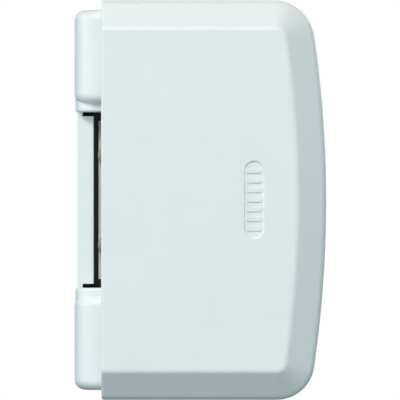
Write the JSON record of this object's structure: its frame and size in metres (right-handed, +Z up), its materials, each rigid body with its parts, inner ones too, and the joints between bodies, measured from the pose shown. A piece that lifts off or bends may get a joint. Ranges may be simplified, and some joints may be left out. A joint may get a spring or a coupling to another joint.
{
  "type": "door contact sensor",
  "caption": "Surface door contact sensor in a hinge-side guard: bevelled white cover on the leaf part, half-round ears with steel catches on the frame part.",
  "frame": {"origin": "on the closing line between the frame part and the leaf part, at mid height, on the mounting surface", "axes": "+X across the leaf part away from the door hinges, +Y into the door and its frame, +Z up"},
  "size_m": [0.079, 0.03, 0.125],
  "materials": {
    "white_moulding": "satin white moulded plastic, very fine spark texture",
    "dark_plastic": "dark moulded plastic",
    "grey_plastic": "light grey moulded plastic",
    "zinc_plate": "zinc-plated sheet steel, matte",
    "hard_steel": "machined steel",
    "screw_steel": "bright zinc plating",
    "nickel_plate": "nickel plating",
    "board_green": "solder-masked glass-epoxy board",
    "chip_black": "moulded epoxy",
    "tinned_sheet": "tinned sheet metal",
    "tinned_wire": "tinned wire",
    "reed_glass": "clear greenish glass tube",
    "cell_sleeve": "shrink sleeve over a steel can",
    "button_plastic": "moulded acetal"
  },
  "bodies": {
    "frame_part": {"frame_cover": "white_moulding", "levelling_plate": "dark_plastic", "frame_plate": "zinc_plate", "frame_plate_screws": "screw_steel", "catch_block_upper": "hard_steel", "catch_block_lower": "hard_steel", "catch_block_screws": "screw_steel", "magnet_holder": "dark_plastic", "magnet": "nickel_plate"},
    "leaf_part": {"leaf_plate": "zinc_plate", "claw_upper": "hard_steel", "claw_lower": "hard_steel", "claw_rivets": "screw_steel", "chassis": "grey_plastic", "chassis_screws": "screw_steel", "circuit_board": "board_green", "board_screws": "screw_steel", "reed_switch": "reed_glass", "reed_leads": "tinned_wire", "radio_shield": "tinned_sheet", "controller_chip": "chip_black", "board_components": "chip_black", "antenna": "tinned_wire", "battery": "cell_sleeve", "battery_holder": "grey_plastic", "battery_spring": "nickel_plate", "battery_terminal": "nickel_plate", "tamper_switch": "chip_black", "tamper_spring": "tinned_wire", "button_base": "chip_black"},
    "cover": {"front_cover": "white_moulding"},
    "tamper_plunger": {"tamper_plunger": "button_plastic"},
    "learn_button": {"learn_button": "button_plastic"}
  },
  "joints": [
    {"name": "leaf_swing", "type": "hinge", "parent": "frame_part", "child": "leaf_part", "pos_m": [0, -0.0175, 0], "axis": [0, 0, -1], "range_deg": [0, 90]},
    {"name": "cover_lift", "type": "slide", "parent": "leaf_part", "child": "cover", "axis": [0, -1, 0], "range_m": [0, 0.04]},
    {"name": "tamper_press", "type": "slide", "parent": "leaf_part", "child": "tamper_plunger", "axis": [0, 1, 0], "range_m": [0, 0.0008], "stiffness_N_per_m": 300, "springref_m": -0.0015, "deforming": ["tamper_spring"]},
    {"name": "learn_press", "type": "slide", "parent": "leaf_part", "child": "learn_button", "axis": [0, 1, 0], "range_m": [0, 0.0005], "stiffness_N_per_m": 500, "springref_m": -0.0004}
  ]
}
